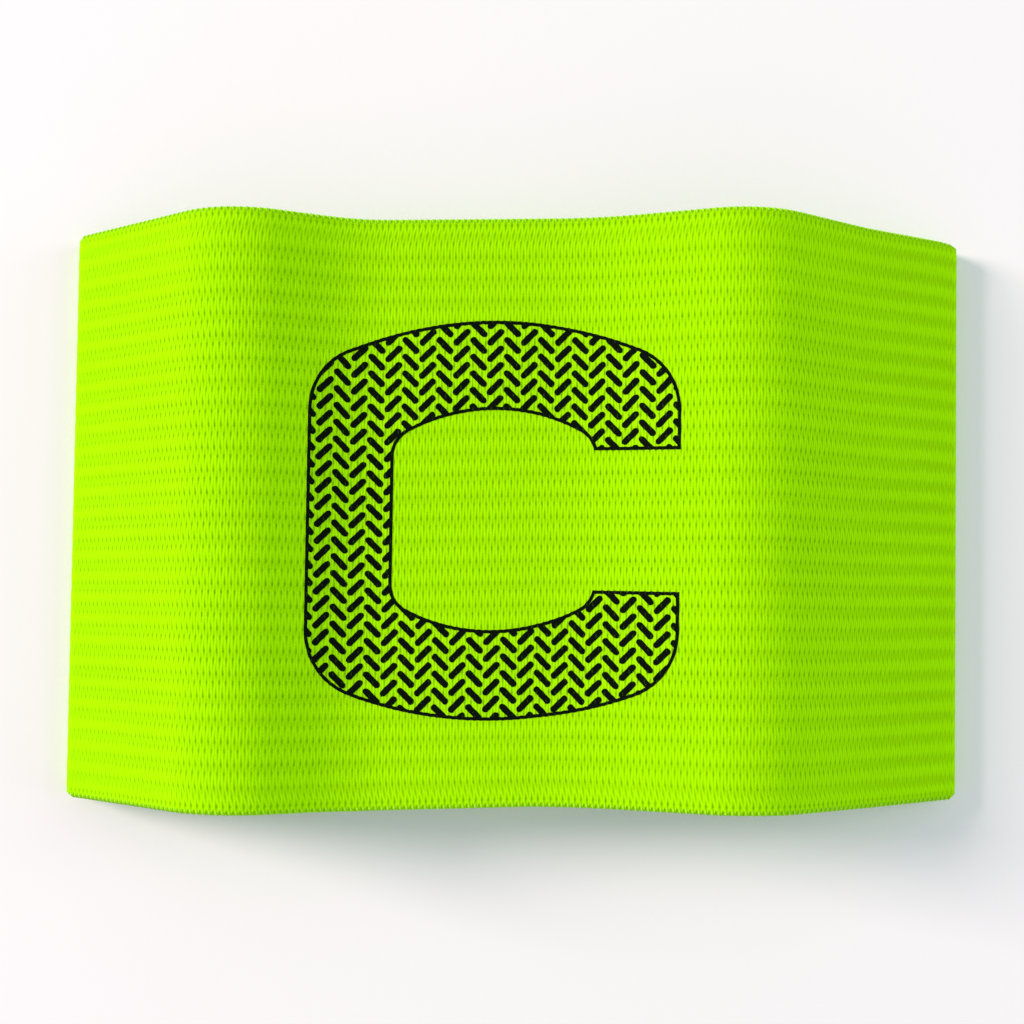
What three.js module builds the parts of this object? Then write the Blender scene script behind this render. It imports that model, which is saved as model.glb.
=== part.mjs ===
// A captain's armband: one wide ribbed elastic strip sewn into a loop and laid on a table.
// The front layer stands up in two soft waves and carries the letter; the back layer lies flat.
// Millimetres, +Z up. The loop runs along X, the band's width along Y, and the table is z = 0.

import * as THREE from 'three';
import { mergeVertices } from 'three/addons/utils/BufferGeometryUtils.js';

// Driving dimensions of the elastic
const bandWidth = 85;
const elasticThickness = 1.6;
const ribPitch = 3.15;
const ribCrestWidth = 1.9;
const ribRelief = 0.25;

// Driving dimensions of the loop as it lies
const laidWidth = 135.5;
const waveHeight = 20.35;
const foldGap = 1.0;
const lapLength = 14;
const lapStepAngle = THREE.MathUtils.degToRad(30);

// Driving dimensions of the printed letter
const letterWidth = 53.8;
const letterHeight = 57.6;
const stemStroke = 12.4;
const crownStroke = 12.7;
const mouthHeight = 20.3;
const outerCrownRadius = 48;
const outerCornerRadius = 10.8;
const innerCrownRadius = 26.3;
const innerCornerRadius = 4;
const letterCentreAlong = -4.0;
const letterCentreUp = -1.05;
const printThickness = 0.3;
const printClearance = 0.3;

// Facets
const facetAngle = THREE.MathUtils.degToRad(9);
const foldFacetAngle = THREE.MathUtils.degToRad(18);
const letterColumns = 6;
const weldDistance = 1e-4;

// Creases of the front layer from left to right, before they are rounded:
// across is a share of laidWidth from the left fold, rise and round are shares of waveHeight.
const frontCreases = [
  { name: 'left_ridge', across: 0.188, rise: 1.002, round: 0.74 },
  { name: 'left_valley', across: 0.322, rise: 0.655, round: 1.47 },
  { name: 'right_valley', across: 0.565, rise: 0.674, round: 2.46 },
  { name: 'right_ridge', across: 0.746, rise: 1.076, round: 0.79 },
  { name: 'right_flank', across: 0.874, rise: 0.59, round: 2.9 },
];

// The elastic's folds turn round the hollow left inside them
const foldRadius = elasticThickness + foldGap / 2;
const leftFoldCentre = new THREE.Vector2(-laidWidth / 2 + foldRadius, foldRadius);
const rightFoldCentre = new THREE.Vector2(laidWidth / 2 - foldRadius, foldRadius);

// Where the straight line from a point touches a circle; side is +1 for its left and -1 for its right
function touchAngle(point, centre, radius, side) {
  const toPoint = point.clone().sub(centre);
  return toPoint.angle() + side * Math.acos(radius / toPoint.length());
}

function onCircle(centre, radius, angle) {
  return new THREE.Vector2(Math.cos(angle), Math.sin(angle)).multiplyScalar(radius).add(centre);
}

// The rounding of one corner between its neighbours, walked clockwise round the loop
function roundCorner(before, corner, after, radius) {
  const arriving = corner.clone().sub(before).normalize();
  const leaving = after.clone().sub(corner).normalize();
  const turn = Math.atan2(arriving.cross(leaving), arriving.dot(leaving));
  const bend = Math.sign(turn);
  const room = Math.min(corner.distanceTo(before), corner.distanceTo(after));
  const reach = Math.min(radius * Math.tan(Math.abs(turn) / 2), room / 2);
  const trueRadius = reach / Math.tan(Math.abs(turn) / 2);
  const start = corner.clone().addScaledVector(arriving, -reach);
  const sideways = new THREE.Vector2(-arriving.y, arriving.x).multiplyScalar(bend);
  const centre = start.clone().addScaledVector(sideways, trueRadius);
  const from = start.clone().sub(centre).angle();
  return { centre, radius: trueRadius, from, to: from + turn, step: facetAngle };
}

// The outer face of the front layer and of both folds, as arcs with straight cloth between them
function frontArcs() {
  const corners = frontCreases.map(
    (crease) => new THREE.Vector2((crease.across - 0.5) * laidWidth, crease.rise * waveHeight),
  );
  const leftTouch = touchAngle(corners[0], leftFoldCentre, foldRadius, 1);
  const rightTouch = touchAngle(corners.at(-1), rightFoldCentre, foldRadius, -1);
  const ends = [
    onCircle(leftFoldCentre, foldRadius, leftTouch),
    ...corners,
    onCircle(rightFoldCentre, foldRadius, rightTouch),
  ];
  const straightDown = -Math.PI / 2;
  return [
    {
      centre: leftFoldCentre,
      radius: foldRadius,
      from: straightDown,
      to: leftTouch - 2 * Math.PI,
      step: foldFacetAngle,
    },
    ...frontCreases.map(
      (crease, i) => roundCorner(ends[i], ends[i + 1], ends[i + 2], crease.round * waveHeight),
    ),
    { centre: rightFoldCentre, radius: foldRadius, from: rightTouch, to: straightDown, step: foldFacetAngle },
  ];
}

// The step that lifts the inner end of the strip over the outer end, walked towards -X
function lapStepArcs() {
  const middleRadius = elasticThickness / (2 * (1 - Math.cos(lapStepAngle)));
  const lowRadius = middleRadius + elasticThickness / 2;
  const highRadius = middleRadius - elasticThickness / 2;
  const run = 2 * middleRadius * Math.sin(lapStepAngle);
  const low = new THREE.Vector2(lapLength / 2 + run, lowRadius);
  const high = new THREE.Vector2(lapLength / 2, elasticThickness - highRadius);
  const down = -Math.PI / 2;
  const up = Math.PI / 2;
  return [
    { centre: low, radius: lowRadius, from: down, to: down - lapStepAngle, step: facetAngle },
    { centre: high, radius: highRadius, from: up - lapStepAngle, to: up, step: facetAngle },
  ];
}

// Points of the outer face along some arcs, each with the direction that faces out of the loop
function walk(arcs) {
  const stations = [];
  for (const arc of arcs) {
    const sweep = arc.to - arc.from;
    const facets = Math.max(1, Math.ceil(Math.abs(sweep) / arc.step));
    const outwards = sweep < 0 ? 1 : -1;
    for (let i = 0; i <= facets; i += 1) {
      const angle = arc.from + (sweep * i) / facets;
      const ray = new THREE.Vector2(Math.cos(angle), Math.sin(angle));
      stations.push({
        outer: ray.clone().multiplyScalar(arc.radius).add(arc.centre),
        normal: ray.clone().multiplyScalar(outwards),
      });
    }
  }
  return stations;
}

// The columns of the loop: a point on its outer face and the one behind it on its inner face
function loopColumns() {
  const down = new THREE.Vector2(0, -1);
  const column = (x, outerZ, innerZ) => (
    { outer: new THREE.Vector2(x, outerZ), inner: new THREE.Vector2(x, innerZ), normal: down }
  );
  const around = walk([...frontArcs(), ...lapStepArcs()]).map((station) => ({
    ...station,
    inner: station.outer.clone().addScaledVector(station.normal, -elasticThickness),
  }));
  const lapEnd = lapLength / 2;
  return [
    column(lapEnd, 0, 2 * elasticThickness),
    column(-lapEnd, 0, 2 * elasticThickness),
    column(-lapEnd, 0, elasticThickness),
    ...around,
  ];
}

// Rows across the band's width: a flat crest for each rib and a groove between each two
function ribRows() {
  const ribs = Math.max(1, Math.round(bandWidth / ribPitch));
  const pitch = bandWidth / ribs;
  const halfCrest = (pitch * ribCrestWidth) / ribPitch / 2;
  const rows = [{ y: -bandWidth / 2, depth: ribRelief }];
  for (let i = 0; i < ribs; i += 1) {
    const middle = -bandWidth / 2 + (i + 0.5) * pitch;
    rows.push({ y: middle - halfCrest, depth: 0 });
    rows.push({ y: middle + halfCrest, depth: 0 });
    rows.push({ y: middle + pitch / 2, depth: ribRelief });
  }
  return rows;
}

// A closed body from triangles given as corner points, with empty triangles left out
function solidFrom(triangles) {
  const positions = triangles.flat().flatMap((p) => [p.x, p.y, p.z]);
  const loose = new THREE.BufferGeometry();
  loose.setAttribute('position', new THREE.Float32BufferAttribute(positions, 3));
  const merged = mergeVertices(loose, weldDistance);
  const corners = merged.getIndex().array;
  const kept = [];
  for (let i = 0; i < corners.length; i += 3) {
    const [a, b, c] = corners.slice(i, i + 3);
    if (a !== b && b !== c && c !== a) {
      kept.push(a, b, c);
    }
  }
  merged.setIndex(kept);
  merged.computeVertexNormals();
  return merged;
}

function quad(a, b, c, d) {
  return [[a, b, c], [a, c, d]];
}

function elasticBandGeometry() {
  const columns = loopColumns();
  const rows = ribRows();
  const outerPoint = (column, row) => new THREE.Vector3(
    column.outer.x - column.normal.x * row.depth,
    row.y,
    column.outer.y - column.normal.y * row.depth,
  );
  const innerPoint = (column, row) => new THREE.Vector3(column.inner.x, row.y, column.inner.y);
  const front = rows[0];
  const back = rows.at(-1);
  const triangles = [];
  columns.forEach((column, i) => {
    const next = columns[(i + 1) % columns.length];
    for (let j = 0; j + 1 < rows.length; j += 1) {
      triangles.push(...quad(
        outerPoint(column, rows[j]),
        outerPoint(next, rows[j]),
        outerPoint(next, rows[j + 1]),
        outerPoint(column, rows[j + 1]),
      ));
    }
    triangles.push(...quad(
      innerPoint(column, back),
      innerPoint(next, back),
      innerPoint(next, front),
      innerPoint(column, front),
    ));
    triangles.push(...quad(
      innerPoint(column, front),
      innerPoint(next, front),
      outerPoint(next, front),
      outerPoint(column, front),
    ));
    triangles.push(...quad(
      outerPoint(column, back),
      outerPoint(next, back),
      innerPoint(next, back),
      innerPoint(column, back),
    ));
  });
  return solidFrom(triangles);
}

// Half the height of a round-shouldered box at a distance from its middle: a wide crown arc,
// then a corner arc that meets the upright side
function archHeight(across, halfWidth, halfHeight, crownRadius, cornerRadius) {
  const tilt = Math.asin((halfWidth - cornerRadius) / (crownRadius - cornerRadius));
  const crownCentre = halfHeight - crownRadius;
  const distance = Math.min(Math.abs(across), halfWidth);
  if (distance <= crownRadius * Math.sin(tilt)) {
    return crownCentre + Math.sqrt(crownRadius ** 2 - distance ** 2);
  }
  const cornerAcross = halfWidth - cornerRadius;
  const cornerUp = crownCentre + (crownRadius - cornerRadius) * Math.cos(tilt);
  return cornerUp + Math.sqrt(Math.max(0, cornerRadius ** 2 - (distance - cornerAcross) ** 2));
}

const letterHalfWidth = letterWidth / 2;
const counterHalfWidth = letterHalfWidth - stemStroke;
const counterHalfHeight = letterHeight / 2 - crownStroke;

function letterTop(across) {
  return archHeight(across, letterHalfWidth, letterHeight / 2, outerCrownRadius, outerCornerRadius);
}

function counterTop(across) {
  const arch = archHeight(
    across,
    counterHalfWidth,
    counterHalfHeight,
    innerCrownRadius,
    innerCornerRadius,
  );
  return across > 0 ? Math.max(arch, mouthHeight / 2) : arch;
}

// A place on the front layer: the distance along its outer face from the middle of the loop's
// width, and how far the place stands off that face
function frontSurface() {
  const stations = walk(frontArcs());
  const lengths = [0];
  for (let i = 1; i < stations.length; i += 1) {
    lengths.push(lengths[i - 1] + stations[i].outer.distanceTo(stations[i - 1].outer));
  }
  const middle = stations.findIndex((station) => station.normal.y > 0 && station.outer.x > 0);
  const before = stations[middle - 1].outer;
  const share = -before.x / (stations[middle].outer.x - before.x);
  const origin = lengths[middle - 1] + share * (lengths[middle] - lengths[middle - 1]);
  const alongs = lengths.map((length) => length - origin);
  const place = (along, up, offset) => {
    const next = Math.max(1, alongs.findIndex((value) => value >= along));
    const part = (along - alongs[next - 1]) / (alongs[next] - alongs[next - 1]);
    const point = stations[next - 1].outer.clone().lerp(stations[next].outer, part);
    const normal = stations[next - 1].normal.clone().lerp(stations[next].normal, part).normalize();
    point.addScaledVector(normal, offset);
    return new THREE.Vector3(point.x, up, point.y);
  };
  return { alongs, place };
}

// Where the letter is cut into columns: evenly along each stroke, and wherever the cloth bends
function letterStations(alongs) {
  const ends = [-letterHalfWidth, -counterHalfWidth, counterHalfWidth, letterHalfWidth];
  const cornerSpan = letterHalfWidth - outerCornerRadius;
  const stations = [...ends];
  for (let i = 1; i < letterColumns; i += 1) {
    const swing = Math.sin((i / letterColumns) * (Math.PI / 2));
    for (const side of [-1, 1]) {
      stations.push(side * (cornerSpan + outerCornerRadius * swing));
      stations.push(side * (counterHalfWidth - innerCornerRadius + innerCornerRadius * swing));
      stations.push((side * i * (counterHalfWidth - innerCornerRadius)) / letterColumns);
    }
  }
  for (const along of alongs) {
    const across = along - letterCentreAlong;
    if (Math.abs(across) < letterHalfWidth) {
      stations.push(across);
    }
  }
  stations.sort((a, b) => a - b);
  const closest = 0.25;
  return stations.filter((value, i) => (
    ends.includes(value)
    || ((i === 0 || value - stations[i - 1] > closest)
      && ends.every((end) => Math.abs(end - value) > closest))
  ));
}

function letterPrintGeometry() {
  const { alongs, place } = frontSurface();
  const stations = letterStations(alongs);
  const shoulder = counterTop(-counterHalfWidth);
  const low = printClearance;
  const high = printClearance + printThickness;
  const point = (across, up, offset) => (
    place(letterCentreAlong + across, letterCentreUp + up, offset)
  );
  const triangles = [];
  // A slab of print between two columns, from a lower edge to an upper edge
  const slab = (left, right, leftLow, leftHigh, rightLow, rightHigh, open) => {
    const corners = [[left, leftLow], [right, rightLow], [right, rightHigh], [left, leftHigh]];
    const top = corners.map(([across, up]) => point(across, up, high));
    const bottom = corners.map(([across, up]) => point(across, up, low));
    triangles.push(...quad(...top));
    triangles.push(...quad(...bottom.slice().reverse()));
    open.forEach((side) => {
      const next = (side + 1) % 4;
      triangles.push(...quad(bottom[side], bottom[next], top[next], top[side]));
    });
  };
  const [lowSide, rightSide, highSide, leftSide] = [0, 1, 2, 3];
  for (let i = 0; i + 1 < stations.length; i += 1) {
    const left = stations[i];
    const right = stations[i + 1];
    const inStem = right <= -counterHalfWidth;
    const ends = [
      ...(i === 0 ? [leftSide] : []),
      ...(i + 2 === stations.length ? [rightSide] : []),
    ];
    const floorLeft = inStem ? shoulder : counterTop(left);
    const floorRight = inStem ? shoulder : counterTop(right);
    const upperOpen = [highSide, ...ends, ...(inStem ? [] : [lowSide])];
    const lowerOpen = [lowSide, ...ends, ...(inStem ? [] : [highSide])];
    slab(left, right, floorLeft, letterTop(left), floorRight, letterTop(right), upperOpen);
    slab(left, right, -letterTop(left), -floorLeft, -letterTop(right), -floorRight, lowerOpen);
    if (inStem) {
      const stemEnds = right === -counterHalfWidth ? [...ends, rightSide] : ends;
      slab(left, right, -shoulder, shoulder, -shoulder, shoulder, stemEnds);
    }
  }
  return solidFrom(triangles);
}

const neonElastic = new THREE.MeshStandardMaterial({
  color: new THREE.Color(0.37, 0.95, 0.0),
  roughness: 0.85,
  metalness: 0.0,
});

const blackInk = new THREE.MeshStandardMaterial({
  color: new THREE.Color(0.01, 0.015, 0.01),
  roughness: 0.6,
  metalness: 0.0,
});

const elasticBand = new THREE.Mesh(elasticBandGeometry(), neonElastic);
elasticBand.name = 'elastic_band';

const letterPrint = new THREE.Mesh(letterPrintGeometry(), blackInk);
letterPrint.name = 'letter_print';

const group = new THREE.Group();
group.add(elasticBand, letterPrint);

export default group;
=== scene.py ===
import math

import bmesh
import bpy
import numpy as np
from mathutils import Matrix, Vector


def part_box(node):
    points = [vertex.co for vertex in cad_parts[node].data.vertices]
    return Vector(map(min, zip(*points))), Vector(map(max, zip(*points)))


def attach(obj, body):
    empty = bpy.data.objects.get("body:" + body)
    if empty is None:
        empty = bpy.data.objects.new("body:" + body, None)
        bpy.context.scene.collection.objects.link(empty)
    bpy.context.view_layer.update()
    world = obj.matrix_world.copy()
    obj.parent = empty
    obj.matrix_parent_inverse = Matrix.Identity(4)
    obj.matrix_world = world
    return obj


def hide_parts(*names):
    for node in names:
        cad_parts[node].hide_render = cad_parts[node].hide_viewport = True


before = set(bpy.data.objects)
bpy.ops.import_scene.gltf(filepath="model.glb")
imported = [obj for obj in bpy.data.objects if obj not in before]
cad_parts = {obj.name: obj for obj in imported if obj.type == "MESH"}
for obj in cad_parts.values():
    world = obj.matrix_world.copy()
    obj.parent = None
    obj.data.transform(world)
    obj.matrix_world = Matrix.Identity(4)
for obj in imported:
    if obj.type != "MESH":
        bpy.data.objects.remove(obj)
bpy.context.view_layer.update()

# The elastic, in metres
MM = 0.001
BAND_LOW, BAND_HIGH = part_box("elastic_band")
BAND_WIDTH = BAND_HIGH.y - BAND_LOW.y
LAID_WIDTH = 135.5 * MM
WAVE_HEIGHT = 20.35 * MM
THICKNESS = 1.6 * MM
FOLD_GAP = 1.0 * MM
FOLD_RADIUS = THICKNESS + FOLD_GAP / 2
STITCH = 0.893 * MM
RIBS = 27
RIB = BAND_WIDTH / RIBS

# The lap that closes the loop at the middle of the back layer
LAP_LENGTH = 14 * MM
LAP_CLEARANCE = 0.03 * MM
LAP_STEP_ANGLE = math.radians(30)

# Creases of the front layer: across is a share of LAID_WIDTH from the left fold,
# rise and round are shares of WAVE_HEIGHT
FRONT_CREASES = [
    {"name": "left_ridge", "across": 0.188, "rise": 1.002, "round": 0.74},
    {"name": "left_valley", "across": 0.322, "rise": 0.655, "round": 1.47},
    {"name": "right_valley", "across": 0.565, "rise": 0.674, "round": 2.46},
    {"name": "right_ridge", "across": 0.746, "rise": 1.076, "round": 0.79},
    {"name": "right_flank", "across": 0.874, "rise": 0.59, "round": 2.9},
]

# One rib of the knit, from the middle of its crest towards +Y, in shares of a rib
CREST_PHASE = 0.0
UPPER_SLIT_PHASE = 0.302
GROOVE_PHASE = 0.5
LOWER_SLIT_PHASE = 0.698

# How far each row of the knit lies under the crest, and how much of that is left
# where the elastic is stretched round a fold
SHOULDER_DEPTH = 0.08 * MM
GROOVE_DEPTH = 0.20 * MM
SLIT_DEPTH = 0.10 * MM
FOLD_RELIEF = 0.25
FOLD_REACH = 3.0 * MM

# How the loop lies: it leans a little, its edges wander, and its corners are rounded
LEAN = 0.0104
LEAN_PIVOT = 13 * MM
EDGE_DRIFT = [
    {"name": "left_fold", "across": 0.0, "upper": 0.12 * MM, "lower": 0.15 * MM},
    {"name": "left_ridge", "across": 0.18, "upper": 0.18 * MM, "lower": -0.10 * MM},
    {"name": "left_valley", "across": 0.33, "upper": -0.03 * MM, "lower": -0.44 * MM},
    {"name": "middle", "across": 0.52, "upper": 0.45 * MM, "lower": 0.25 * MM},
    {"name": "right_ridge", "across": 0.75, "upper": 0.31 * MM, "lower": 0.0},
    {"name": "right_flank", "across": 0.88, "upper": 0.15 * MM, "lower": -0.33 * MM},
    {"name": "right_brink", "across": 0.975, "upper": 0.22 * MM, "lower": -0.30 * MM},
    {"name": "right_fold", "across": 1.0, "upper": -0.05 * MM, "lower": -0.30 * MM},
]
CORNER_RADII = {
    ("left", "upper"): 0.6 * MM,
    ("left", "lower"): 0.6 * MM,
    ("right", "upper"): 0.6 * MM,
    ("right", "lower"): 0.7 * MM,
}
CORNER_REACH = 6.0
CORNER_FACING = math.radians(20)

# The selvedge: how far each of its rows lies from the edge, and how deep
LAST_SLIT_FROM_EDGE = 1.2 * MM
SELVEDGE_ROWS = [
    {"name": "flare", "from_edge": 0.95 * MM, "depth": 0.10 * MM},
    {"name": "bead", "from_edge": 0.60 * MM, "depth": 0.05 * MM},
    {"name": "shoulder", "from_edge": 0.28 * MM, "depth": 0.16 * MM},
    {"name": "cheek", "from_edge": 0.08 * MM, "depth": 0.42 * MM},
    {"name": "edge", "from_edge": 0.0, "depth": THICKNESS / 2},
]
INNER_SELVEDGE = ("flare", "shoulder", "cheek")
SCALLOP = 0.06 * MM
SCALLOPED_WITHIN = 0.1 * MM

# Slow unevenness of the laid front layer: waves counted along it and up the band, which
# fade out near both folds
SOFT_FADE = 0.12
SOFT_WAVES = [
    {"name": "slow", "along": 2.6, "up": 0.55, "start": 0.6, "rise": 0.08 * MM},
    {"name": "slower", "along": 1.05, "up": -0.8, "start": 2.0, "rise": 0.12 * MM},
]

# The yarn loops over both selvedges, one to a stitch; the upper ones start half a stitch on
LOOP_RADIUS = 0.18 * MM
LOOP_OUT = 0.15 * MM
LOOP_UP = 0.06 * MM
LOOP_REACH = 0.55 * MM
LOOP_WRAP = math.radians(105)
LOOP_LEAN = 0.16
LOOP_RINGS = 7
LOOP_SIDES = 5
LOWER_LOOPS_FROM = 0.5
UPPER_LOOPS_FROM = 1.0

# The two seams of zigzag thread that hold the lap
SEAM_PLACES = (-4.6 * MM, 4.6 * MM)
SEAM_MARGIN = 1.5 * MM
ZIGZAG_REACH = 0.9 * MM
ZIGZAG_STEP = 1.05 * MM
THREAD_RADIUS = 0.16 * MM
THREAD_RISE = 0.02 * MM
THREAD_SINK = 0.12 * MM
THREAD_RINGS = 5
THREAD_SIDES = 6

# The ends of a yarn tube: how far its rings reach into the rounding, and how blunt it is
TUBE_END = 0.92
TUBE_BLUNTNESS = 6

# The printed letter: its place on the outer face, from the middle of the loop and up the
# band, and its drawing in millimetres
LETTER_ALONG = -4.0 * MM
LETTER_UP = -1.25 * MM
LETTER_HALF_WIDTH = 26.9
LETTER_HALF_HEIGHT = 28.8
UPPER_CROWN_RADIUS = 54.0
LOWER_CROWN_RADIUS = 57.0
OUTER_CORNER_RADIUS = 9.8
COUNTER_HALF_WIDTH = 14.5
COUNTER_HALF_HEIGHT = 15.85
INNER_CROWN_RADIUS = 26.3
INNER_CORNER_RADIUS = 4.0
MOUTH_HALF_HEIGHT = 10.05
MOUTH_SLACK = 0.05
OUTLINE_STROKE = 0.48
ARC_STEPS = 12
BAR_LENGTH = 3.1
BAR_WIDTH = 0.95
BAR_SIDES = 12
BAR_COLUMN_PITCH = 2.45
BAR_ROW_PITCH = 2.4
LETTER_PLATE = 0.5
FIELD_PLATE = 1.0
BAR_PLATE = 2.0
CUT_SLACK = 1e-4
MERGE_WITHIN = 1e-3
LETTER_TILT = -0.012
INK_RAGGED = 0.035 * MM
INK_RAGGED_TURN = 2.7
INK_RISE = 0.05 * MM
INK_THICKNESS = 0.12 * MM

# The knit as its materials draw it: along the strip in stitches, up the band in ribs,
# and the length of a slit in millimetres from its row
SLIT_HEAD = (-0.45, -0.08)
SLIT_BULB = (0.0, 0.55)
SLIT_BULB_DEPTH = 0.60
SLIT_TAIL = (0.40, 1.40)
SLIT_TAIL_DEPTH = 0.40
SLIT_NARROWS = (0.0, 0.55)
SLIT_WIDTHS = (0.24, 0.15)
SLIT_SLANT = 0.05
SLIT_LEAST = 0.15
SLIT_CHANCE = 0.45
SLIT_PATCHES = 1.1
SLIT_SINK = 0.45
SLIT_ROW_REACH = 0.3
SLIT_CUT_OFF = (0.02, 0.06)
FAINT_ROW_LOSS = 0.7
LAST_ROW_GAIN = 0.35
EDGE_TICK = 0.065
TICK_WIDTHS = (0.05, 0.28)
TICK_DEPTH = 1.5
SELVEDGE_SLANT = 0.5
SELVEDGE_SLANT_FROM = RIBS / 2 - 1.5
SELVEDGE_SLANT_TO = RIBS / 2 - 0.2
CALM_FROM = 6.0
CALM_LOSS = 0.3
SWAYS = (0.07, 0.12)
SWAYS_OVER = (RIBS / 2 - 1, RIBS / 2 - 0.5)
STRAND_GAPS = [
    {"name": "left_gap", "middle": 0.25, "way": -1.0},
    {"name": "right_gap", "middle": 0.75, "way": 1.0},
]
STRAND_REACH = 0.34
STRAND_MEAN = 0.65
STRAND_RISE = 0.38
FUZZ_RISE = 0.18
KNIT_HEIGHT = 0.5
WANDER = 0.24
WANDER_SCALE = (0.35, 0.8, 1.0)
PATCH_SCALE = (0.03, 0.5, 1.0)
FUZZ_SCALE = (1.6, 2.4, 1.0)
SLOW_SCALE = (0.045, 0.35, 1.0)
FLANK_STITCHES = 40.0
LEFT_SLIT_LOSS = 0.2
RIGHT_SLIT_LOSS = 0.8
LEFT_STRAND_LOSS = 0.75
RIGHT_STRAND_LOSS = 0.35
BEND_STITCHES = 4.0
LEFT_BEND_LOSS = 0.4
RIGHT_BEND_LOSS = 0.8
# Painted shade in the grooves between the ribs, as a share of the tone on the left flank, the middle
# and the right flank
LEFT_GROOVE_SHADE = 0.05
MIDDLE_GROOVE_SHADE = 0.07
RIGHT_GROOVE_SHADE = 0.09
GROOVE_REACH = 0.45
SLOW_TONE = 0.10
LEAST_TONE = 0.90
FUZZ_TONE = 0.16
KNIT_BUMP = 0.14 * MM
INK_BUMP_SHARE = 0.6
INK_GRAIN_SCALE = (5.0, 9.0, 1.0)
INK_GRAIN = 0.5
PINHOLE_LEVELS = (0.75, 1.1)
TWIST_SCALE = (3.1, 26.0, 1.0)
TWIST_LEVELS = (0.3, 0.7)
TWIST_BUMP = 0.04 * MM

# Colours, as linear shares of red, green and blue
NEON = (0.26, 0.655, 0.0)
# NEON_HIGHLIGHT: painted highlight on the tops of the strands
NEON_HIGHLIGHT = (0.41, 0.875, 0.0)
# NEON_SHADE: painted shade of the cloth in the slits and the ticks between the selvedge loops, also
# used for the cloth that shows through the ink's pinholes
NEON_SHADE = (0.12, 0.38, 0.0)
YARN = (0.29, 0.67, 0.02)
YARN_HIGHLIGHT = (0.44, 0.88, 0.05)
SLIT_SHADE = 0.35
INK = (0.0010, 0.0040, 0.0012)
PINHOLES = 0.10
WARM_LIGHT = (1.0, 0.88, 0.82)
FILL_LIGHT = (0.78, 1.0, 0.93)
ROOM_LIGHT = (0.90, 0.99, 1.0)
FLOOR = (0.96, 0.90, 0.94)

# The room, in metres and watts
FLOOR_SIZE = 4.0
LIGHTS = [
    {
        "name": "key",
        "direction": (-0.88, 0.28, 0.42),
        "distance": 2.0,
        "size": 0.7,
        "watts": 41.5,
        "colour": WARM_LIGHT,
    },
    {
        "name": "right_fill",
        "direction": (0.85, 0.10, 0.45),
        "distance": 2.0,
        "size": 1.2,
        "watts": 12.5,
        "colour": FILL_LIGHT,
    },
]
ROOM_BRIGHTNESS = 0.55

# The camera, as the photograph was taken: straight down from close by
CAMERA_PLACE = (-5.28 * MM, -12.78 * MM, 188.54 * MM)
CAMERA_TILT = math.radians(-1.645)
CAMERA_YAW = math.radians(1.308)
CAMERA_ROLL = math.radians(-0.227)
SENSOR = 36.0
PICTURE_PIXELS = 1024
FOCAL_PIXELS = 1215.6
SHIFT_PIXELS = 54.2
NEAREST_SEEN = 10 * MM


def add_camera():
    data = bpy.data.cameras.new("camera")
    data.sensor_width = SENSOR
    data.lens = FOCAL_PIXELS / PICTURE_PIXELS * SENSOR
    data.shift_y = SHIFT_PIXELS / PICTURE_PIXELS
    data.clip_start = NEAREST_SEEN
    camera = bpy.data.objects.new("camera", data)
    bpy.context.scene.collection.objects.link(camera)
    turn = (
        Matrix.Rotation(CAMERA_ROLL, 3, "Z")
        @ Matrix.Rotation(CAMERA_YAW, 3, "Y")
        @ Matrix.Rotation(CAMERA_TILT, 3, "X")
    )
    camera.matrix_world = Matrix.Translation(CAMERA_PLACE) @ turn.transposed().to_4x4()
    bpy.context.scene.camera = camera


add_camera()


# The laid path of the strip

def turned(vector):
    return np.array([-vector[1], vector[0]])


def unit(vector):
    return vector / np.linalg.norm(vector)


def round_corner(before, corner, after, radius):
    """The arc that rounds a corner, as its centre, radius and two angles."""
    arriving, leaving = unit(corner - before), unit(after - corner)
    cross = arriving[0] * leaving[1] - arriving[1] * leaving[0]
    turn = math.atan2(cross, arriving @ leaving)
    reach = radius * math.tan(abs(turn) / 2)
    start = corner - arriving * reach
    centre = start + turned(arriving) * math.copysign(radius, turn)
    start_angle = math.atan2(*(start - centre)[::-1])
    return {"centre": centre, "radius": radius, "from": start_angle, "to": start_angle + turn}


def touch_angle(point, centre, radius, side):
    """Where a straight run from a point touches a round fold, as an angle about its centre."""
    away = point - centre
    return math.atan2(away[1], away[0]) + side * math.acos(radius / np.linalg.norm(away))


def strip_arcs():
    """The arcs of the strip's outer crest line, from its outer end round to its inner end."""
    fold = FOLD_RADIUS
    left = np.array([-LAID_WIDTH / 2 + fold, fold])
    right = np.array([LAID_WIDTH / 2 - fold, fold])
    corners = [
        np.array([(crease["across"] - 0.5) * LAID_WIDTH, crease["rise"] * WAVE_HEIGHT])
        for crease in FRONT_CREASES
    ]
    left_angle = touch_angle(corners[0], left, fold, 1)
    right_angle = touch_angle(corners[-1], right, fold, -1)
    on_left = left + fold * np.array([math.cos(left_angle), math.sin(left_angle)])
    on_right = right + fold * np.array([math.cos(right_angle), math.sin(right_angle)])
    walk = [on_left, *corners, on_right]
    down = -math.pi / 2
    arcs = [{"centre": left, "radius": fold, "from": down, "to": left_angle - 2 * math.pi}]
    for i, crease in enumerate(FRONT_CREASES):
        arcs.append(round_corner(*walk[i:i + 3], crease["round"] * WAVE_HEIGHT))
    arcs.append({"centre": right, "radius": fold, "from": right_angle, "to": down})
    rise = THICKNESS + LAP_CLEARANCE
    middle = rise / (2 * (1 - math.cos(LAP_STEP_ANGLE)))
    low, high = middle + THICKNESS / 2, middle - THICKNESS / 2
    run = (low + high) * math.sin(LAP_STEP_ANGLE)
    arcs.append({
        "centre": np.array([LAP_LENGTH / 2 + run, low]),
        "radius": low,
        "from": down,
        "to": down - LAP_STEP_ANGLE,
    })
    arcs.append({
        "centre": np.array([LAP_LENGTH / 2, rise - high]),
        "radius": high,
        "from": -down - LAP_STEP_ANGLE,
        "to": -down,
    })
    return arcs


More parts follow.
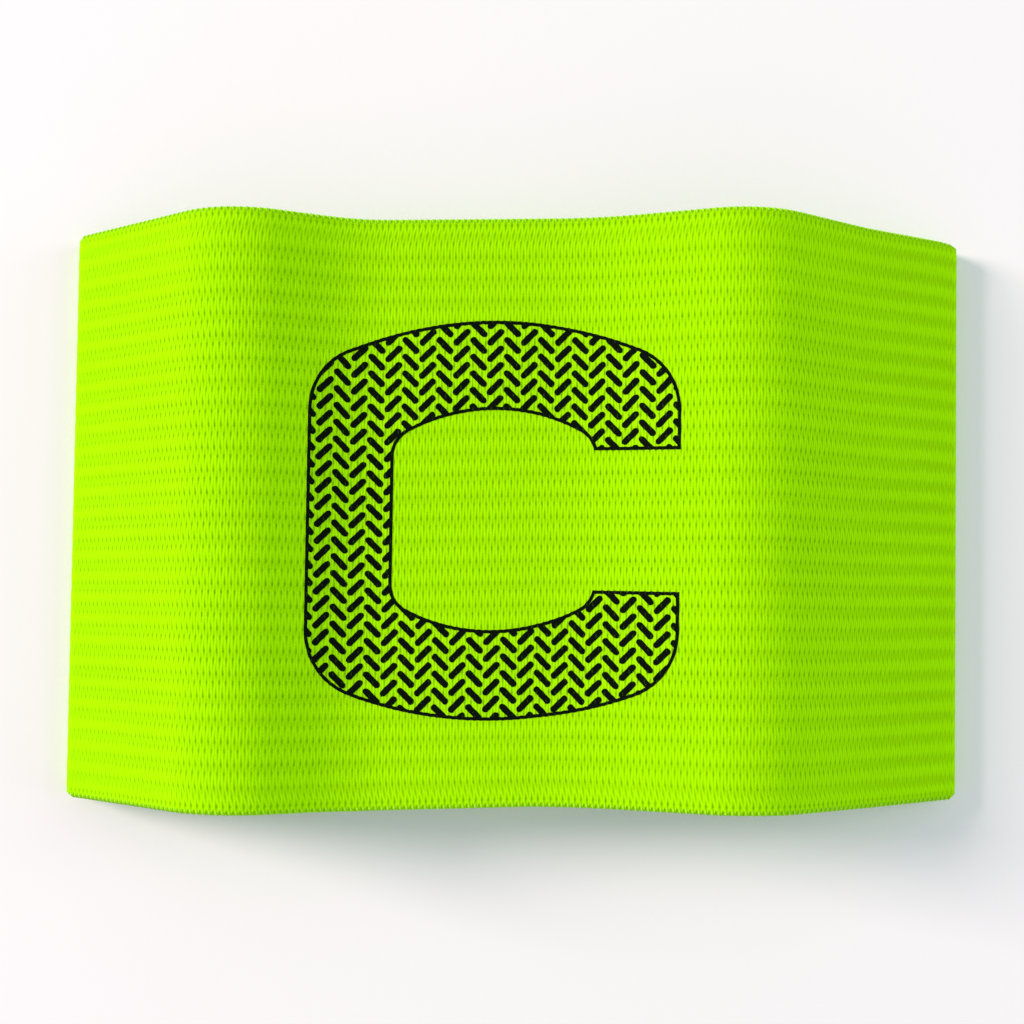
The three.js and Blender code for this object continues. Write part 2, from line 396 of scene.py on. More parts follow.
def laid_path():
    """Fine points of the strip's middle line with the direction out of the loop."""
    steps_to_an_arc = 60
    points = [np.array([[LAP_LENGTH / 2, 0.0]])]
    normals = [np.array([[0.0, -1.0]])]
    for arc in strip_arcs():
        angles = np.linspace(arc["from"], arc["to"], steps_to_an_arc)
        rays = np.stack([np.cos(angles), np.sin(angles)], axis=1)
        points.append(arc["centre"] + arc["radius"] * rays)
        normals.append(rays * (1 if arc["to"] < arc["from"] else -1))
    points.append(np.array([[-LAP_LENGTH / 2, THICKNESS + LAP_CLEARANCE]]))
    normals.append(np.array([[0.0, -1.0]]))
    points, normals = np.concatenate(points), np.concatenate(normals)
    return points - normals * THICKNESS / 2, normals


def lengths_along(points):
    steps = np.linalg.norm(np.diff(points, axis=0), axis=1)
    return np.concatenate([[0.0], np.cumsum(steps)])


PATH_POINTS, PATH_NORMALS = laid_path()
PATH_LENGTHS = lengths_along(PATH_POINTS)
STRIP_LENGTH = PATH_LENGTHS[-1]
STITCHES = round(STRIP_LENGTH / STITCH)
STITCH_LENGTH = STRIP_LENGTH / STITCHES
COLUMNS = 2 * STITCHES


def on_path(distance):
    """Places (x, z) and outward directions of the middle line at distances along it."""
    place = [np.interp(distance, PATH_LENGTHS, PATH_POINTS[:, k]) for k in (0, 1)]
    normal = [np.interp(distance, PATH_LENGTHS, PATH_NORMALS[:, k]) for k in (0, 1)]
    place, normal = np.stack(place, axis=-1), np.stack(normal, axis=-1)
    return place, normal / np.linalg.norm(normal, axis=-1, keepdims=True)


# Rows across the band

def selvedge_row(side, row, phase_room):
    share = row["from_edge"] / LAST_SLIT_FROM_EDGE
    return {
        "kind": "selvedge",
        "y": side * (BAND_WIDTH / 2 - row["from_edge"]),
        "rib": side * (RIBS / 2 - share * phase_room),
        "depth": row["depth"],
        "edge": row["from_edge"] < SCALLOPED_WITHIN,
    }


def knit_rows(kinds, selvedge):
    """Rows from the lower selvedge to the upper one, each with its height, rib number and depth."""
    half = RIBS // 2
    room = GROOVE_PHASE - UPPER_SLIT_PHASE
    even = RIBS / 2 - 1 + room
    last = BAND_WIDTH / 2 - LAST_SLIT_FROM_EDGE
    shares, heights = (0, even, RIBS / 2 - room), (0, even * RIB, last)
    chosen = [row for row in SELVEDGE_ROWS if selvedge is None or row["name"] in selvedge]
    rows = []
    for rib in range(-half, half + 1):
        for kind, phase, depth in kinds:
            place = rib + phase
            if abs(place) < RIBS / 2 - 0.01:
                y = math.copysign(np.interp(abs(place), shares, heights), place)
                rows.append({"kind": kind, "y": y, "rib": place, "depth": depth, "edge": False})
    lower = [selvedge_row(-1, row, room) for row in reversed(chosen)]
    upper = [selvedge_row(1, row, room) for row in chosen]
    return lower + rows + upper


OUTER_ROWS = knit_rows(
    [
        ("lower_slit", LOWER_SLIT_PHASE - 1, SHOULDER_DEPTH),
        ("crest", CREST_PHASE, 0.0),
        ("upper_slit", UPPER_SLIT_PHASE, SHOULDER_DEPTH),
        ("groove", GROOVE_PHASE, GROOVE_DEPTH),
    ],
    None,
)
INNER_ROWS = knit_rows(
    [("crest", CREST_PHASE, 0.0), ("groove", GROOVE_PHASE, GROOVE_DEPTH)],
    INNER_SELVEDGE,
)


LEFT_FOLD_AT = PATH_LENGTHS[np.argmin(PATH_POINTS[:, 0])]
RIGHT_FOLD_AT = PATH_LENGTHS[np.argmax(PATH_POINTS[:, 0])]


def slit_here(column, kind):
    """1 where a column of the fine face runs through the slits of a row, else 0."""
    if kind == "lower_slit":
        return 1.0 - column % 2
    if kind == "upper_slit":
        return column % 2
    return 0.0 * column


def fold_relief(distance):
    """The share of the knit's depth that is left at a distance along the strip."""
    share = 1.0
    for fold in (LEFT_FOLD_AT, RIGHT_FOLD_AT):
        share = share - (1 - FOLD_RELIEF) * np.exp(-((distance - fold) / FOLD_REACH) ** 2)
    return share


def softness(distance, height):
    """How far the laid front layer stands off its even wave: slow, slight unevenness."""
    share = (distance - LEFT_FOLD_AT) / (RIGHT_FOLD_AT - LEFT_FOLD_AT)
    front = np.clip(share / SOFT_FADE, 0, 1) * np.clip((1 - share) / SOFT_FADE, 0, 1)
    up = height / BAND_WIDTH
    rise = 0.0
    for wave in SOFT_WAVES:
        turns = wave["along"] * share + wave["up"] * up
        rise = rise + wave["rise"] * np.sin(2 * math.pi * turns + wave["start"])
    return front * rise


def edge_drift(distance, across, height):
    """How far the laid strip wanders up or down its straight course."""
    on_front = (distance > LEFT_FOLD_AT) & (distance < RIGHT_FOLD_AT)
    shares = [row["across"] for row in EDGE_DRIFT]
    drift = {}
    for edge in ("upper", "lower"):
        lifts = [row[edge] for row in EDGE_DRIFT]
        front = np.interp(across, shares, lifts)
        back = np.interp(across, (0, 1), (lifts[0], lifts[-1]))
        drift[edge] = np.where(on_front, front, back)
    up = height / BAND_WIDTH + 0.5
    return drift["lower"] + (drift["upper"] - drift["lower"]) * up


def corner_tuck(crest, height):
    """How far a point is drawn in towards the band's middle by the rounded corners."""
    tuck = 0.0 * height
    for (fold, end), radius in CORNER_RADII.items():
        right = 1 if fold == "right" else -1
        side = 1 if end == "upper" else -1
        facing = np.array([right * math.cos(CORNER_FACING), math.sin(CORNER_FACING)])
        centre = np.array([right * (LAID_WIDTH / 2 - FOLD_RADIUS), FOLD_RADIUS])
        inward = FOLD_RADIUS - (crest - centre) @ facing
        short = np.clip(radius - inward, 0, radius)
        drop = radius - np.sqrt(radius ** 2 - short ** 2)
        nearness = (side * height - BAND_WIDTH / 2) / (CORNER_REACH * radius) + 1
        tuck = tuck + side * drop * np.clip(nearness, 0, 1.2) ** 2
    return tuck


def laid(distance, stand, height):
    """Points that stand off the strip's middle line and lie at a height across the band."""
    place, normal = on_path(distance)
    stand = stand + softness(distance, height)
    x = place[..., 0] + normal[..., 0] * stand
    z = place[..., 1] + normal[..., 1] * stand
    crest = place + normal * THICKNESS / 2
    across = crest[..., 0] / LAID_WIDTH + 0.5
    y = height + edge_drift(distance, across, height) - corner_tuck(crest, height)
    return np.stack([x + LEAN * (y - LEAN_PIVOT), y + 0 * x, z], axis=-1)


def face_points(columns, rows, side):
    """Points of one face of the cloth, shape (columns, rows, 3); side is 1 outside, -1 inside.

    Where the drawn slits slant over to the selvedge the mesh has none, and in the last row
    they lie half a stitch on.
    """
    column = np.arange(columns + 1) * (COLUMNS // columns)
    distance = STRIP_LENGTH * column / COLUMNS
    relief = fold_relief(distance)
    points = np.zeros((columns + 1, len(rows), 3))
    for j, row in enumerate(rows):
        edge_depth = row["depth"] if row["kind"] == "selvedge" else row["depth"] * relief
        last = abs(row["rib"]) > RIBS / 2 - 0.5
        drawn_flat = not last and abs(row["rib"]) > SELVEDGE_SLANT_FROM
        slit = 0.0 if drawn_flat else slit_here(column + last, row["kind"])
        depth = edge_depth + SLIT_DEPTH * slit * relief
        scallop = SCALLOP * np.cos(math.pi * column) if row["edge"] else 0.0
        height = row["y"] - scallop + 0 * distance
        points[:, j] = laid(distance, side * (THICKNESS / 2 - depth), height)
    return points


OUTER_FACE = face_points(COLUMNS, OUTER_ROWS, 1)
INNER_FACE = face_points(COLUMNS // 2, INNER_ROWS, -1)


# Small helpers for meshes

def only(obj):
    bpy.ops.object.select_all(action="DESELECT")
    obj.select_set(True)
    bpy.context.view_layer.objects.active = obj


def grid_sheet(name, points, rows, across_stitches):
    """A grid primitive whose vertices take the given places; its UV map counts stitches and ribs."""
    columns = len(points) - 1
    bpy.ops.object.select_all(action="DESELECT")
    bpy.ops.mesh.primitive_grid_add(
        x_subdivisions=columns, y_subdivisions=len(rows) - 1, size=1, calc_uvs=True,
    )
    sheet = bpy.context.active_object
    sheet.name = name
    mesh = sheet.data
    flat = np.zeros(len(mesh.vertices) * 3)
    mesh.vertices.foreach_get("co", flat)
    flat = flat.reshape(-1, 3)
    column = np.rint((flat[:, 0] + 0.5) * columns).astype(int)
    row = np.rint((flat[:, 1] + 0.5) * (len(rows) - 1)).astype(int)
    mesh.vertices.foreach_set("co", points[column, row].ravel())
    ribs = np.array([r["rib"] for r in rows])
    corners = np.zeros(len(mesh.loops), int)
    mesh.loops.foreach_get("vertex_index", corners)
    stitch = column[corners] * across_stitches
    strip = mesh.uv_layers.active
    strip.name = "strip"
    strip.data.foreach_set("uv", np.stack([stitch, ribs[row[corners]]], axis=1).ravel())
    order = np.zeros(points.shape[:2], int)
    order[column, row] = np.arange(len(column))
    return sheet, order


def rim_of(order):
    """Vertex numbers round the border of a grid, starting at its first corner."""
    return [
        *order[:-1, 0],
        *order[-1, :-1],
        *order[:0:-1, -1],
        *order[0, :0:-1],
    ]


def make_band():
    """The strip: its outer and inner faces, joined all round their rims."""
    outer, outer_order = grid_sheet("ribbed_elastic", OUTER_FACE, OUTER_ROWS, 0.5)
    inner, inner_order = grid_sheet("inner_face", INNER_FACE, INNER_ROWS, 1.0)
    only(inner)
    bpy.ops.object.mode_set(mode="EDIT")
    bpy.ops.mesh.select_all(action="SELECT")
    bpy.ops.mesh.flip_normals()
    bpy.ops.object.mode_set(mode="OBJECT")
    shift = len(outer.data.vertices)
    inner.select_set(True)
    outer.select_set(True)
    bpy.context.view_layer.objects.active = outer
    bpy.ops.object.join()
    band = outer
    outer_rim = rim_of(outer_order)
    inner_rim = [shift + n for n in rim_of(inner_order)]
    work = bmesh.new()
    work.from_mesh(band.data)
    work.verts.ensure_lookup_table()
    strip = work.loops.layers.uv["strip"]
    place = {}
    for face in work.faces:
        for loop in face.loops:
            place.setdefault(loop.vert.index, loop[strip].uv.copy())
    for i in range(len(inner_rim)):
        near, far = inner_rim[i], inner_rim[(i + 1) % len(inner_rim)]
        fine = [outer_rim[(2 * i + k) % len(outer_rim)] for k in (0, 1, 2)]
        ring = [near, far, fine[2], fine[1], fine[0]]
        face = work.faces.new([work.verts[n] for n in ring])
        for loop in face.loops:
            loop[strip].uv = place[loop.vert.index]
    work.normal_update()
    work.to_mesh(band.data)
    work.free()
    only(band)
    bpy.ops.object.shade_smooth_by_angle(angle=math.radians(60))
    return band


# The printed letter, drawn flat in millimetres and then laid on the cloth

def arch(half_width, half_height, crown, corner):
    """The upper half of a round-shouldered box, from its right side over the top to its left."""
    tilt = math.asin((half_width - corner) / (crown - corner))
    crown_centre = half_height - crown
    side = half_width - corner
    corner_up = crown_centre + (crown - corner) * math.cos(tilt)
    points = []
    for step in range(ARC_STEPS):
        angle = (math.pi / 2 - tilt) * step / ARC_STEPS
        points.append((side + corner * math.cos(angle), corner_up + corner * math.sin(angle)))
    crown_steps = 2 * ARC_STEPS
    for step in range(crown_steps + 1):
        angle = math.pi / 2 - tilt + 2 * tilt * step / crown_steps
        points.append((crown * math.cos(angle), crown_centre + crown * math.sin(angle)))
    for step in range(1, ARC_STEPS + 1):
        angle = math.pi / 2 + tilt + (math.pi / 2 - tilt) * step / ARC_STEPS
        points.append((-side + corner * math.cos(angle), corner_up + corner * math.sin(angle)))
    return points


def letter_outline(inset):
    """The letter's outline, drawn inset from its edge, counter-clockwise."""
    width = LETTER_HALF_WIDTH - inset
    height = LETTER_HALF_HEIGHT - inset
    corner = OUTER_CORNER_RADIUS - inset
    outside = arch(width, height, UPPER_CROWN_RADIUS - inset, corner)
    below = arch(width, height, LOWER_CROWN_RADIUS - inset, corner)
    counter = arch(
        COUNTER_HALF_WIDTH + inset,
        COUNTER_HALF_HEIGHT + inset,
        INNER_CROWN_RADIUS + inset,
        INNER_CORNER_RADIUS + inset,
    )
    mouth = MOUTH_HALF_HEIGHT + inset
    upper = [(x, y) for x, y in counter if x < 0 or y > mouth + MOUTH_SLACK]
    corner_x = np.interp(mouth, *zip(*[(y, x) for x, y in counter[:ARC_STEPS]]))
    return [
        (width, mouth),
        *outside,
        *[(x, -y) for x, y in reversed(below)],
        (width, -mouth),
        (corner_x, -mouth),
        *[(x, -y) for x, y in upper],
        *reversed(upper),
        (corner_x, mouth),
    ]


def plate(name, outline, half_thickness):
    """A closed flat plate with the given outline, standing off z = 0 on both sides."""
    bpy.ops.object.select_all(action="DESELECT")
    bpy.ops.mesh.primitive_circle_add(vertices=len(outline), fill_type="NGON")
    obj = bpy.context.active_object
    obj.name = name
    flat = [co for x, y in outline for co in (x, y, -half_thickness)]
    obj.data.vertices.foreach_set("co", flat)
    thicken(2 * half_thickness)
    return obj


def thicken(thickness):
    """Extrudes the active flat piece upwards into a closed plate."""
    bpy.ops.object.mode_set(mode="EDIT")
    bpy.ops.mesh.select_all(action="SELECT")
    bpy.ops.mesh.extrude_region_move(TRANSFORM_OT_translate={"value": (0, 0, thickness)})
    bpy.ops.mesh.select_all(action="SELECT")
    bpy.ops.mesh.normals_make_consistent(inside=False)
    bpy.ops.object.mode_set(mode="OBJECT")


def make_bar(half_thickness):
    """One short bar with round ends: a disc whose right half is drawn out."""
    bpy.ops.object.select_all(action="DESELECT")
    bpy.ops.mesh.primitive_circle_add(
        vertices=BAR_SIDES,
        radius=BAR_WIDTH / 2,
        fill_type="NGON",
        location=(0, 0, -half_thickness),
        rotation=(0, 0, math.pi / BAR_SIDES),
    )
    bpy.ops.object.transform_apply(location=True, rotation=True, scale=True)
    bar = bpy.context.active_object
    reach = (BAR_LENGTH - BAR_WIDTH) / 2
    for vert in bar.data.vertices:
        vert.co.x += math.copysign(reach, vert.co.x)
    thicken(2 * half_thickness)
    return bar


def herringbone(half_thickness):
    """Columns of bars that lean left and right in turn, all over the letter's box."""
    bar = make_bar(half_thickness)
    across = math.ceil(LETTER_HALF_WIDTH / BAR_COLUMN_PITCH)
    up = math.ceil(LETTER_HALF_HEIGHT / BAR_ROW_PITCH)
    bars = []
    for i in range(-across, across + 1):
        odd = i % 2
        for j in range(-up, up + 1):
            copy = bpy.data.objects.new("bar", bar.data.copy())
            place = (i * BAR_COLUMN_PITCH, (j + odd / 2) * BAR_ROW_PITCH, 0)
            turn = Matrix.Rotation(math.pi / 4 * (1 - 2 * odd), 4, "Z")
            copy.data.transform(Matrix.Translation(place) @ turn)
            bpy.context.scene.collection.objects.link(copy)
            bars.append(copy)
    only(bars[0])
    for copy in bars:
        copy.select_set(True)
    bpy.ops.object.join()
    bpy.data.objects.remove(bar)
    return bpy.context.active_object


def cut(target, tool):
    """Cuts one closed piece out of another and removes it."""
    cutter = target.modifiers.new("cut", "BOOLEAN")
    cutter.operation = "DIFFERENCE"
    cutter.solver = "EXACT"
    cutter.object = tool
    only(target)
    bpy.ops.object.modifier_apply(modifier="cut")
    bpy.data.objects.remove(tool)


# The middle line of the outer face, measured along the cloth, which the print is laid by
MIDDLE_LINE = OUTER_FACE[:, len(OUTER_ROWS) // 2, ::2]
OUTER_LENGTHS = lengths_along(MIDDLE_LINE)
FRONT_X = np.where(MIDDLE_LINE[:, 1] > 4 * THICKNESS, np.abs(MIDDLE_LINE[:, 0]), LAID_WIDTH)
MIDDLE_COLUMN = int(np.argmin(FRONT_X))
ALONG = OUTER_LENGTHS - OUTER_LENGTHS[MIDDLE_COLUMN] + MIDDLE_LINE[MIDDLE_COLUMN, 0]
ROW_HEIGHTS = np.array([row["y"] for row in OUTER_ROWS])
ROW_RIBS = np.array([row["rib"] for row in OUTER_ROWS])


def on_cloth(along, up, lift):
    """Places on the cloth's outer face, and their stitch and rib numbers."""
    column = np.interp(along, ALONG, np.arange(len(ALONG)))
    up = up + INK_RAGGED * np.sin(INK_RAGGED_TURN * column)
    row = np.interp(up, ROW_HEIGHTS, np.arange(len(ROW_HEIGHTS)))
    i = np.clip(column.astype(int), 0, len(ALONG) - 2)
    j = np.clip(row.astype(int), 0, len(ROW_HEIGHTS) - 2)
    a, b = (column - i)[:, None], (row - j)[:, None]
    place = (
        OUTER_FACE[i, j] * (1 - a) * (1 - b)
        + OUTER_FACE[i + 1, j] * a * (1 - b)
        + OUTER_FACE[i, j + 1] * (1 - a) * b
        + OUTER_FACE[i + 1, j + 1] * a * b
    )
    normal = on_path(STRIP_LENGTH * column / COLUMNS)[1]
    place[:, 0] += normal[:, 0] * lift
    place[:, 2] += normal[:, 1] * lift
    return place, column / 2, np.interp(up, ROW_HEIGHTS, ROW_RIBS)


def make_letter():
    """The outline and the bars as one flat print, laid on the cloth and made a thin film."""
    letter = plate("letter_ink", letter_outline(0.0), LETTER_PLATE)
    field = plate("letter_field", letter_outline(OUTLINE_STROKE), FIELD_PLATE)
    cut(field, herringbone(BAR_PLATE))
    cut(letter, field)
    work = bmesh.new()
    work.from_mesh(letter.data)
    below = [f for f in work.faces if f.calc_center_median().z < 0.99 * LETTER_PLATE]
    bmesh.ops.delete(work, geom=below, context="FACES")
    for vert in work.verts:
        vert.co.y += LETTER_TILT * vert.co.x
    column_places = (ALONG - LETTER_ALONG) / MM
    row_places = (ROW_HEIGHTS - LETTER_UP) / MM
    for places, axis, half in (
        (column_places, Vector((1, 0, 0)), LETTER_HALF_WIDTH),
        (row_places, Vector((0, 1, 0)), LETTER_HALF_HEIGHT),
    ):
        for place in places[np.abs(places) < half]:
            everything = work.verts[:] + work.edges[:] + work.faces[:]
            bmesh.ops.bisect_plane(
                work, geom=everything, plane_co=axis * place, plane_no=axis, dist=CUT_SLACK,
            )
    bmesh.ops.remove_doubles(work, verts=work.verts, dist=MERGE_WITHIN)
    flat = np.array([v.co[:] for v in work.verts])
    place, stitch, rib = on_cloth(
        LETTER_ALONG + flat[:, 0] * MM, LETTER_UP + flat[:, 1] * MM, INK_RISE,
    )
    strip = work.loops.layers.uv.new("strip")
    work.verts.index_update()
    for face in work.faces:
        for loop in face.loops:
            n = loop.vert.index
            loop[strip].uv = (stitch[n], rib[n])
    for vert, co in zip(work.verts, place):
        vert.co = co
    work.to_mesh(letter.data)
    work.free()
    only(letter)
    film = letter.modifiers.new("film", "SOLIDIFY")
    film.thickness = INK_THICKNESS
    film.offset = -1.0
    bpy.ops.object.modifier_apply(modifier="film")
    bpy.ops.object.shade_smooth_by_angle(angle=math.radians(40))
    return letter


# Yarn details, as many small tubes joined in one mesh

def tubes(name, paths, radius, sides, stitch_of):
    """A mesh of round-ended yarn tubes; paths has the shape (tubes, rings, 3)."""
    count, rings = paths.shape[:2]
    ahead = np.gradient(paths, axis=1)
    ahead /= np.linalg.norm(ahead, axis=2, keepdims=True)
    steep = np.abs(ahead[..., :1]) < 0.8
    helper = np.where(steep, [1.0, 0.0, 0.0], [0.0, 0.0, 1.0])
    first = np.cross(ahead, helper)
    first /= np.linalg.norm(first, axis=2, keepdims=True)
    second = np.cross(ahead, first)
    taper = np.sqrt(1 - np.linspace(-TUBE_END, TUBE_END, rings) ** TUBE_BLUNTNESS)
    angles = 2 * math.pi * np.arange(sides) / sides
    ring = (
        np.cos(angles)[None, None, :, None] * first[:, :, None]
        + np.sin(angles)[None, None, :, None] * second[:, :, None]
    )
    verts = paths[:, :, None] + radius * taper[None, :, None, None] * ring
    verts = verts.reshape(-1, 3)
    faces = []
    for t in range(count):
        base = t * rings * sides
        for r in range(rings - 1):
            for s in range(sides):
                a = base + r * sides + s
                b = base + r * sides + (s + 1) % sides
                faces.append((a, b, b + sides, a + sides))
        faces.append(tuple(base + s for s in range(sides))[::-1])
        faces.append(tuple(base + (rings - 1) * sides + s for s in range(sides)))
    mesh = bpy.data.meshes.new(name)
    mesh.from_pydata(verts.tolist(), [], faces)
    strip = mesh.uv_layers.new(name="strip")
    corners = np.zeros(len(mesh.loops), int)
    mesh.loops.foreach_get("vertex_index", corners)
    tube, within = corners // (rings * sides), corners % (rings * sides)
    along = within // sides / rings
    strip.data.foreach_set("uv", np.stack([stitch_of[tube], along], axis=1).ravel())
    obj = bpy.data.objects.new(name, mesh)
    bpy.context.scene.collection.objects.link(obj)
    only(obj)
    bpy.ops.object.mode_set(mode="EDIT")
    bpy.ops.mesh.select_all(action="SELECT")
    bpy.ops.mesh.normals_make_consistent(inside=False)
    bpy.ops.object.mode_set(mode="OBJECT")
    bpy.ops.object.shade_smooth()
    return obj


def make_selvedge_loops():
    """One loop of yarn over the edge for each stitch, along both selvedges."""
    wrap = np.linspace(LOOP_WRAP, -LOOP_WRAP, LOOP_RINGS)
    rise = THICKNESS / 2 - LOOP_RADIUS + LOOP_UP
    tip = BAND_WIDTH / 2 + LOOP_OUT - LOOP_RADIUS
    paths = []
    numbers = []
    for side, start in ((-1, LOWER_LOOPS_FROM), (1, UPPER_LOOPS_FROM)):
        stitch = np.arange(start, STITCHES)
        distance = STITCH_LENGTH * (stitch[:, None] + side * LOOP_LEAN * np.sin(wrap))
        height = side * (tip - LOOP_REACH * (1 - np.cos(wrap))) + 0 * distance
        paths.append(laid(distance, rise * np.sin(wrap), height))
        numbers.append(stitch)
    return tubes(
        "selvedge_loops", np.concatenate(paths), LOOP_RADIUS, LOOP_SIDES, np.concatenate(numbers),
    )


def make_lap_stitches():
    """Zigzag stitches through the lap, seen inside the loop and underneath."""
    steps = int((BAND_WIDTH - 2 * SEAM_MARGIN) / ZIGZAG_STEP)
    start = -ZIGZAG_STEP * steps / 2
    share = np.linspace(0, 1, THREAD_RINGS)
    top = 2 * THICKNESS + LAP_CLEARANCE
    paths = []
    for seam in SEAM_PLACES:
        for n in range(steps):
            swing = ZIGZAG_REACH * (1 if n % 2 else -1)
            x = seam + swing * (1 - 2 * share)
            y = start + ZIGZAG_STEP * (n + share)
            sink = THREAD_SINK * (2 * share - 1) ** 4
            for height in (top + THREAD_RISE - sink, THREAD_RADIUS + sink):
                paths.append(np.stack([x + LEAN * (y - LEAN_PIVOT), y, height + 0 * x], axis=1))
    numbers = np.arange(len(paths)) * 1.0
    return tubes("lap_stitches", np.array(paths), THREAD_RADIUS, THREAD_SIDES, numbers)


# Materials

def maths(tree, operation, first, second=None, third=None, clamp=False):
    node = tree.nodes.new("ShaderNodeMath")
    node.operation = operation
    node.use_clamp = clamp
    for socket, value in zip(node.inputs, (first, second, third)):
        if isinstance(value, bpy.types.NodeSocket):
            tree.links.new(value, socket)
        elif value is not None:
            socket.default_value = value
    return node.outputs[0]


def ramp(tree, value, low, high, to_low=0.0, to_high=1.0):
    """A smooth step of a value from one level to another."""
    node = tree.nodes.new("ShaderNodeMapRange")
    node.interpolation_type = "SMOOTHSTEP"
    settings = {
        "Value": value,
        "From Min": low,
        "From Max": high,
        "To Min": to_low,
        "To Max": to_high,
    }
    for name, setting in settings.items():
        if isinstance(setting, bpy.types.NodeSocket):
            tree.links.new(setting, node.inputs[name])
        else:
            node.inputs[name].default_value = setting
    return node.outputs["Result"]


def colour_mix(tree, factor, first, second, blend="MIX"):
    node = tree.nodes.new("ShaderNodeMix")
    node.data_type = "RGBA"
    node.blend_type = blend
    for name, value in (("Factor", factor), ("A", first), ("B", second)):
        socket = next(s for s in node.inputs if s.name == name and s.enabled)
        if isinstance(value, bpy.types.NodeSocket):
            tree.links.new(value, socket)
        elif isinstance(value, tuple):
            socket.default_value = (*value, 1.0)
        else:
            socket.default_value = value
    return next(s for s in node.outputs if s.enabled)


def noise(tree, vector, scale, detail=2.0):
    node = tree.nodes.new("ShaderNodeTexNoise")
    node.inputs["Scale"].default_value = scale
    node.inputs["Detail"].default_value = detail
    tree.links.new(vector, node.inputs["Vector"])
    return node.outputs["Fac"]


def stretched(tree, vector, scale):
    node = tree.nodes.new("ShaderNodeMapping")
    node.inputs["Scale"].default_value = scale
    tree.links.new(vector, node.inputs["Vector"])
    return node.outputs["Vector"]


def slit_mask(tree, aside, tail):
    """A soft teardrop between two strands: a round head, and a thin tail over the rib's body."""
    head = ramp(tree, tail, *SLIT_HEAD)
    bulb = ramp(tree, tail, *SLIT_BULB, SLIT_BULB_DEPTH, 0.0)
    thread = ramp(tree, tail, *SLIT_TAIL, SLIT_TAIL_DEPTH, 0.0)
    width = ramp(tree, tail, *SLIT_NARROWS, *SLIT_WIDTHS)
    across = ramp(tree, maths(tree, "ABSOLUTE", aside), 0.0, width, 1.0, 0.0)
    depth = maths(tree, "MULTIPLY", head, maths(tree, "ADD", bulb, thread))
    return maths(tree, "MULTIPLY", across, depth)


def near(tree, value, middle, reach):
    """1 where a value is at its middle, falling to 0 a reach away."""
    away = maths(tree, "ABSOLUTE", maths(tree, "SUBTRACT", value, middle))
    return ramp(tree, away, 0.0, reach, 1.0, 0.0)


def less(tree, value, mask, loss):
    """A value that loses a share of itself where a mask is 1."""
    return maths(tree, "MULTIPLY", value, maths(tree, "MULTIPLY_ADD", mask, -loss, 1.0))


def more(tree, value, mask, gain):
    """A value that gains a share of itself where a mask is 1."""
    return less(tree, value, mask, -gain)


def centred(tree, value, middle):
    """How far a value lies from the nearest whole number past its middle, from -0.5 to 0.5."""
    return maths(tree, "WRAP", maths(tree, "SUBTRACT", value, middle), 0.5, -0.5)


def wandering_stitch(tree, place, along, edge):
    """The stitch number, shifted so that the strands wander and slant at the selvedges."""
    wander = noise(tree, stretched(tree, place, WANDER_SCALE), 1.0)
    stitch = maths(tree, "ADD", along, maths(tree, "MULTIPLY_ADD", wander, WANDER, -WANDER / 2))
    slant = ramp(tree, edge, SELVEDGE_SLANT_FROM, SELVEDGE_SLANT_TO, 0.0, SELVEDGE_SLANT)
    return maths(tree, "SUBTRACT", stitch, slant)


def chance(tree, stitch, rib):
    """An even random number for each half stitch of each half rib."""
    cell = tree.nodes.new("ShaderNodeTexWhiteNoise")
    cell.noise_dimensions = "3D"
    corner = tree.nodes.new("ShaderNodeCombineXYZ")
    for value, socket in zip((stitch, rib), corner.inputs):
        tree.links.new(maths(tree, "FLOOR", maths(tree, "MULTIPLY", value, 2.0)), socket)
    tree.links.new(corner.outputs[0], cell.inputs["Vector"])
    return cell.outputs["Value"]


def slit_rows(tree, place, stitch, rib, edge):
    """The two rows of slits in each rib, and the ticks between the loops of the selvedge; the
    elastic's colour darkens both with painted shade.
    """
    lower_tail = maths(tree, "MULTIPLY", centred(tree, rib, LOWER_SLIT_PHASE), RIB / MM)
    upper_tail = maths(tree, "MULTIPLY", centred(tree, rib, UPPER_SLIT_PHASE), -RIB / MM)
    lower_aside = maths(tree, "MULTIPLY_ADD", lower_tail, SLIT_SLANT, centred(tree, stitch, 0.0))
    upper_aside = maths(tree, "MULTIPLY_ADD", upper_tail, -SLIT_SLANT, centred(tree, stitch, 0.5))
    slit = maths(
        tree, "MAXIMUM",
        slit_mask(tree, lower_aside, lower_tail),
        slit_mask(tree, upper_aside, upper_tail),
    )
    patch = noise(tree, stretched(tree, place, PATCH_SCALE), 1.0)
    uneven = maths(tree, "MULTIPLY_ADD", chance(tree, stitch, rib), SLIT_CHANCE, SLIT_LEAST)
    slit = maths(tree, "MULTIPLY", slit, maths(tree, "MULTIPLY_ADD", patch, SLIT_PATCHES, uneven))
    last = RIBS / 2 - GROOVE_PHASE + UPPER_SLIT_PHASE
    faint = RIBS - 1 - last
    slit = less(tree, slit, near(tree, edge, faint, SLIT_ROW_REACH), FAINT_ROW_LOSS)
    slit = more(tree, slit, near(tree, edge, last, SLIT_ROW_REACH), LAST_ROW_GAIN)
    slit = less(tree, slit, ramp(tree, edge, *[last + step for step in SLIT_CUT_OFF]), 1.0)
    slit = less(tree, slit, ramp(tree, edge, CALM_FROM, RIBS / 2), CALM_LOSS)
    above = maths(tree, "GREATER_THAN", rib, 0.0)
    between = centred(tree, maths(tree, "MULTIPLY_ADD", above, 0.5, stitch), 0.5)
    tick_row = near(tree, edge, RIBS / 2 - EDGE_TICK, EDGE_TICK)
    tick = ramp(tree, maths(tree, "ABSOLUTE", between), *TICK_WIDTHS, TICK_DEPTH, 0.0)
    return slit, maths(tree, "MULTIPLY", tick_row, tick)


